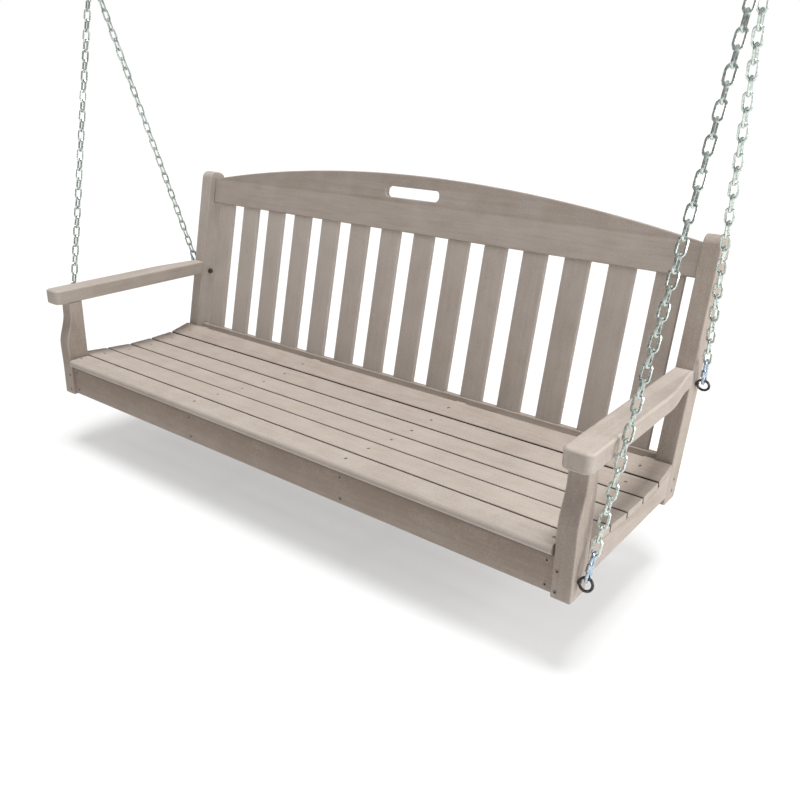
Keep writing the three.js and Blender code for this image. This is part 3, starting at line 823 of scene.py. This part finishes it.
def addQuickLink(name, body, eye, across, along, face):
    centre = eye + 0.001 * (quickSet["seat"] + quickSet["length"] / 2) * along
    loop = wire(stadium(quickSet["length"], quickSet["width"], 10, 4), quickSet["wire"], 12)
    long = quickSet["sleeveLength"]
    points, faces = turned(hexProfile(quickSet["sleeveFlats"], long, quickSet["wire"] - 0.1), 48, True)
    sleeve = points[:, [0, 2, 1]] * [1, 1, -1] + [quickSet["width"] / 2, -long / 2, 0]
    threads = []
    for end in (-1, 1):
        rings = [(quickSet["wire"] + quickSet["threadDepth"] * (k % 2),
                  end * (long / 2 + quickSet["threadStep"] * k)) for k in range(quickSet["threadRings"])]
        turns, turnFaces = turned(rings, 16)
        threads.append((turns[:, [0, 2, 1]] + [quickSet["width"] / 2, 0, 0], turnFaces))
    points, faces = merged([loop, (sleeve, faces), *threads])
    addPiece(name + "_shackle", placed(points, centre, across, along, face), faces, "zincPlate", body,
             [name])


# The eye bolt: a round eye, a flared neck where the shank leaves it, and a threaded shank.
def addEyeBolt(name, eye, inward, pull):
    side = np.cross(pull, inward)
    angle = np.linspace(0, 2 * np.pi, 40, endpoint=False)
    eyePath = eyeSet["radius"] * np.stack([np.cos(angle), np.sin(angle)], 1)
    low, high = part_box(name)
    tail = 1000 * (high.x - low.x) - eyeSet["radius"] - eyeSet["wire"]
    start = eyeSet["radius"] - 1
    plain = eyeSet["plain"]
    rings = [(eyeSet["shank"], start), (eyeSet["shank"], start + plain)]
    count = int((tail - start - plain - 1) / (eyeSet["thread"] / 2))
    rings += [(eyeSet["shank"] - eyeSet["threadDepth"] * (k % 2), start + plain + k * eyeSet["thread"] / 2)
              for k in range(1, count)]
    rings += [(eyeSet["shank"] - 0.4, tail - 0.6), (eyeSet["shank"] - 1.1, tail)]
    shank, shankFaces = turned(rings, 16)
    neckRings = [(3.0, start - 2.2), (4.9, start - 0.2), (5.0, start + 1.2), (4.2, start + 2.6)]
    neck, neckFaces = turned(neckRings, 16)
    turn = [2, 1, 0]
    parts = [wire(eyePath, eyeSet["wire"], 14), (shank[:, turn] * [1, 1, -1], shankFaces),
             (neck[:, turn] * [1, 1, -1], neckFaces)]
    points, faces = merged(parts)
    addPiece(name + "_forged", placed(points, eye, inward, pull, side), faces, "blackSteel", "bench",
             [name])


def addNut(name, inward):
    centre = boxMiddle(name)
    points, faces = turned(hexProfile(nutSet["flats"], nutSet["thick"], nutSet["bore"]), 48, True)
    points = points - [0, 0, nutSet["thick"] / 2]
    addPiece(name + "_hex", placed(points, centre, (0, 1, 0), (0, 0, 1), inward), faces, "blackSteel",
             "bench", [name])


def addHangingSide(side, sign):
    body = f"{side}_chains"
    ring = boxMiddle(f"{side}_ring")
    eyes = {}
    for end in ("front", "rear"):
        low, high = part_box(f"{side}_{end}_eye_bolt")
        reach = 0.001 * (eyeSet["radius"] + eyeSet["wire"])
        outer = high.x - reach if sign > 0 else low.x + reach
        eyes[end] = np.array([outer, (low.y + high.y) / 2, (low.z + high.z) / 2])
    face = unit(np.cross(ring - eyes["front"], eyes["rear"] - eyes["front"]))
    inward = np.array([-sign, 0.0, 0.0])
    counts = []
    for end, eye in eyes.items():
        along = unit(ring - eye)
        across = np.cross(along, face)
        counts.append(addChain(f"{side}_{end}_chain", body, eye, ring, across, along, face))
        addQuickLink(f"{side}_{end}_quick_link", body, eye, across, along, face)
        pull = unit((ring - eye) * [0, 1, 1])
        addEyeBolt(f"{side}_{end}_eye_bolt", eye, inward, pull)
        addNut(f"{side}_{end}_eye_nut", inward)
    up = unit(ring - (eyes["front"] + eyes["rear"]) / 2)
    up = unit(up - (up @ face) * face)
    angle = np.linspace(0, 2 * np.pi, 64, endpoint=False)
    path = ringSet["radius"] * np.stack([np.cos(angle), np.sin(angle)], 1)
    points, faces = wire(path, ringSet["wire"], 14)
    addPiece(f"{side}_ring_welded", placed(points, ring, np.cross(up, face), up, face), faces,
             "zincPlate", body, [f"{side}_ring"])
    return counts


for sideName, sideSign in (("left", -1), ("right", 1)):
    print(sideName, "chains with", addHangingSide(sideName, sideSign), "links")


# ---- ceiling hangers

hangerSet = {"loopRadius": 15, "loopWire": 4.5, "loopDrop": 35, "bushRadius": 11, "bushWidth": 20,
             "pinRadius": 5, "pinLength": 40, "earThick": 5, "earInside": 11, "earRadius": 14,
             "plateLength": 100, "plateWidth": 46, "plateThick": 6, "plateCorner": 8, "hole": 4.5,
             "holeSpacing": 76, "pinDrop": 26, "earFlare": 3, "earFall": 8, "play": 0.3}


def addBracket(side, pinMiddle):
    length, width = hangerSet["plateLength"] / 2, hangerSet["plateWidth"] / 2
    corners = [[-length, -width], [length, -width], [length, width], [-length, width]]
    outline = softLoop(corners, hangerSet["plateCorner"], 8)
    spacing, top = hangerSet["holeSpacing"] / 2, hangerSet["pinDrop"]
    holes = [circleLoop((end * spacing, 0), hangerSet["hole"]) for end in (-1, 1)]
    underside = top - hangerSet["plateThick"]
    plate, plateFaces = easedBoard([outline, *holes], underside, top, 0.9)[:2]
    root, earRound = top - hangerSet["plateThick"] / 2, hangerSet["earRadius"]
    angle = np.linspace(np.pi, 2 * np.pi, 21)
    curve = np.stack([earRound * np.cos(angle), earRound * np.sin(angle)], 1)
    flare, fall = hangerSet["earFlare"], hangerSet["earFall"]
    tab = np.vstack([[[-earRound - flare, root]], [[-earRound, root - fall]], curve,
                     [[earRound, root - fall]], [[earRound + flare, root]]])
    bore = circleLoop((0, 0), hangerSet["pinRadius"] + hangerSet["play"])
    parts = [(plate, plateFaces)]
    for end in (-1, 1):
        inside = hangerSet["earInside"]
        near, far = sorted([end * inside, end * (inside + hangerSet["earThick"])])
        ear, earFaces = easedBoard([tab, bore], near, far, 0.8)[:2]
        parts.append((ear[:, [2, 0, 1]], earFaces))
    points, faces = merged(parts)
    addPiece(f"{side}_bracket_yoke", pinMiddle + 0.001 * points, faces, "hangerSteel",
             "ceiling_brackets", [f"{side}_ceiling_bracket"])


def addPin(side, pinMiddle):
    half, radius = hangerSet["pinLength"] / 2, hangerSet["pinRadius"] - 0.05
    bevel = 0.8
    profile = [(0.01, -half), (radius - bevel, -half), (radius, -half + bevel),
               (radius, half - bevel), (radius - bevel, half), (0.01, half)]
    points, faces = turned(profile, 24)
    addPiece(f"{side}_pin_turned", pinMiddle + 0.001 * points[:, [2, 0, 1]], faces, "zincPlate",
             "ceiling_brackets", [f"{side}_hanger_pin"])


# The swinging eye: a sleeve on the pin, and a round eye below it that the ring hangs in.
def addSwingingEye(side, pinMiddle):
    half, radius = hangerSet["bushWidth"] / 2, hangerSet["bushRadius"]
    bore = hangerSet["pinRadius"] + hangerSet["play"]
    inner, outer = 0.5, 0.9  # the bevels of the bore and of the outside
    profile = [(bore, -half + inner), (bore + inner, -half), (radius - outer, -half),
               (radius, -half + outer), (radius, half - outer), (radius - outer, half),
               (bore + inner, half), (bore, half - inner)]
    sleeve, sleeveFaces = turned(profile, 32, True)
    angle = np.linspace(0, 2 * np.pi, 48, endpoint=False)
    path = hangerSet["loopRadius"] * np.stack([np.cos(angle), np.sin(angle)], 1)
    eye, eyeFaces = wire(path, hangerSet["loopWire"], 14)
    eye = eye[:, [0, 2, 1]] - [0, 0, hangerSet["loopDrop"]]
    top, foot = -bore - 1.2, hangerSet["loopRadius"] - hangerSet["loopDrop"] + 1
    neck, neckFaces = turned([(4.0, foot), (4.8, foot + 3), (5.6, (top + foot) / 2), (6.4, top)], 20)
    points, faces = merged([(sleeve[:, [2, 0, 1]], sleeveFaces), (eye, eyeFaces), (neck, neckFaces)])
    addPiece(f"{side}_eye_forged", pinMiddle + 0.001 * points, faces, "hangerSteel",
             f"{side}_swinging_eye", [f"{side}_swinging_eye"])


for sideName in ("left", "right"):
    pinMiddle = boxMiddle(f"{sideName}_hanger_pin")
    addBracket(sideName, pinMiddle)
    addPin(sideName, pinMiddle)
    addSwingingEye(sideName, pinMiddle)
print("hangers are made")


# ---- screws

screwSet = {"radius": 3.7, "proud": 0.7, "socket": 1.3, "frameRadius": 4.6, "frameSocket": 2.1,
            "ribX": (699.5, 235), "apronX": (699, 235), "apronZ": (-20, -68), "postX": 722.5,
            "postZ": (-29.5, -69), "rearN": 27, "rearV": (-22, -46)}


# A screw head: a low turned dome with a round, straight-walled socket, whose floor is just over the wood.
# depth is 1 in the socket, painted shade that makes it near black.
def screwHead(radius, socket):
    top, floor, buried = screwSet["proud"], 0.08, -1.5
    profile = [(0.01, floor), (socket - 0.1, floor), (socket, top - 0.08), (socket + 0.25, top),
               (radius - 1.2, top - 0.12), (radius - 0.3, top - 0.4), (radius, top - 0.75),
               (radius, buried), (0.01, buried)]
    points, faces = turned(profile, 14)
    depth = np.repeat([1, 1, 0.6, 0, 0, 0, 0, 0, 0], 14)
    return points, faces, depth


# Many heads as one piece: places are bench points, outs their outward directions.
def addScrews(name, radius, socket, places, outs):
    head, headFaces, depth = screwHead(radius, socket)
    places, outs = np.array(places, float), np.array(outs, float)
    outs /= np.linalg.norm(outs, axis=1)[:, None]
    side = np.cross(outs, [1.0, 0.02, 0.01])
    flat = np.linalg.norm(side, axis=1) < 0.2
    side[flat] = np.cross(outs[flat], [0.0, 1.0, 0.0])
    side /= np.linalg.norm(side, axis=1)[:, None]
    third = np.cross(outs, side)
    x, y, z = head.T
    points = (places[:, None] + x[:, None] * side[:, None] + y[:, None] * third[:, None]
              + z[:, None] * outs[:, None])
    begin = np.arange(len(places)) * len(head)
    faces = [[i + start for i in face] for start in begin.tolist() for face in headFaces]
    addPiece(name, toRow(points.reshape(-1, 3)), faces, "screwSteel", "bench", [],
             {"depth": np.tile(depth, len(places))})


def seatScrews():
    line = np.array(seatSet["line"])
    places, outs = [], []
    for start, end in zip(line[:-1], line[1:]):
        middle = (start + end) / 2
        forward = unit(end - start)
        for x in screwSet["ribX"]:
            for sign in (-1, 1):
                places.append([sign * x, *middle])
                outs.append([0, -forward[1], forward[0]])
    return places, outs


def frameScrews():
    places = [[sign * x, apronSet["front"], z] for x in screwSet["apronX"] for z in screwSet["apronZ"]
              for sign in (-1, 1)]
    places += [[sign * screwSet["postX"], postFoot[0] * z / postFoot[1], z]
               for z in screwSet["postZ"] for sign in (-1, 1)]
    outs = [[0, -1, 0]] * len(places)
    outer = frontPostSet["outer"]
    for v in screwSet["rearV"]:
        for sign in (-1, 1):
            place = leaned(*(np.array([value]) for value in (sign * outer, screwSet["rearN"], v)))[0]
            places.append(place)
            outs.append([sign, 0, 0])
    return places, outs


addScrews("seat_screws", screwSet["radius"], screwSet["socket"], *seatScrews())
addScrews("frame_screws", screwSet["frameRadius"], screwSet["frameSocket"], *frameScrews())
print("screws are made")
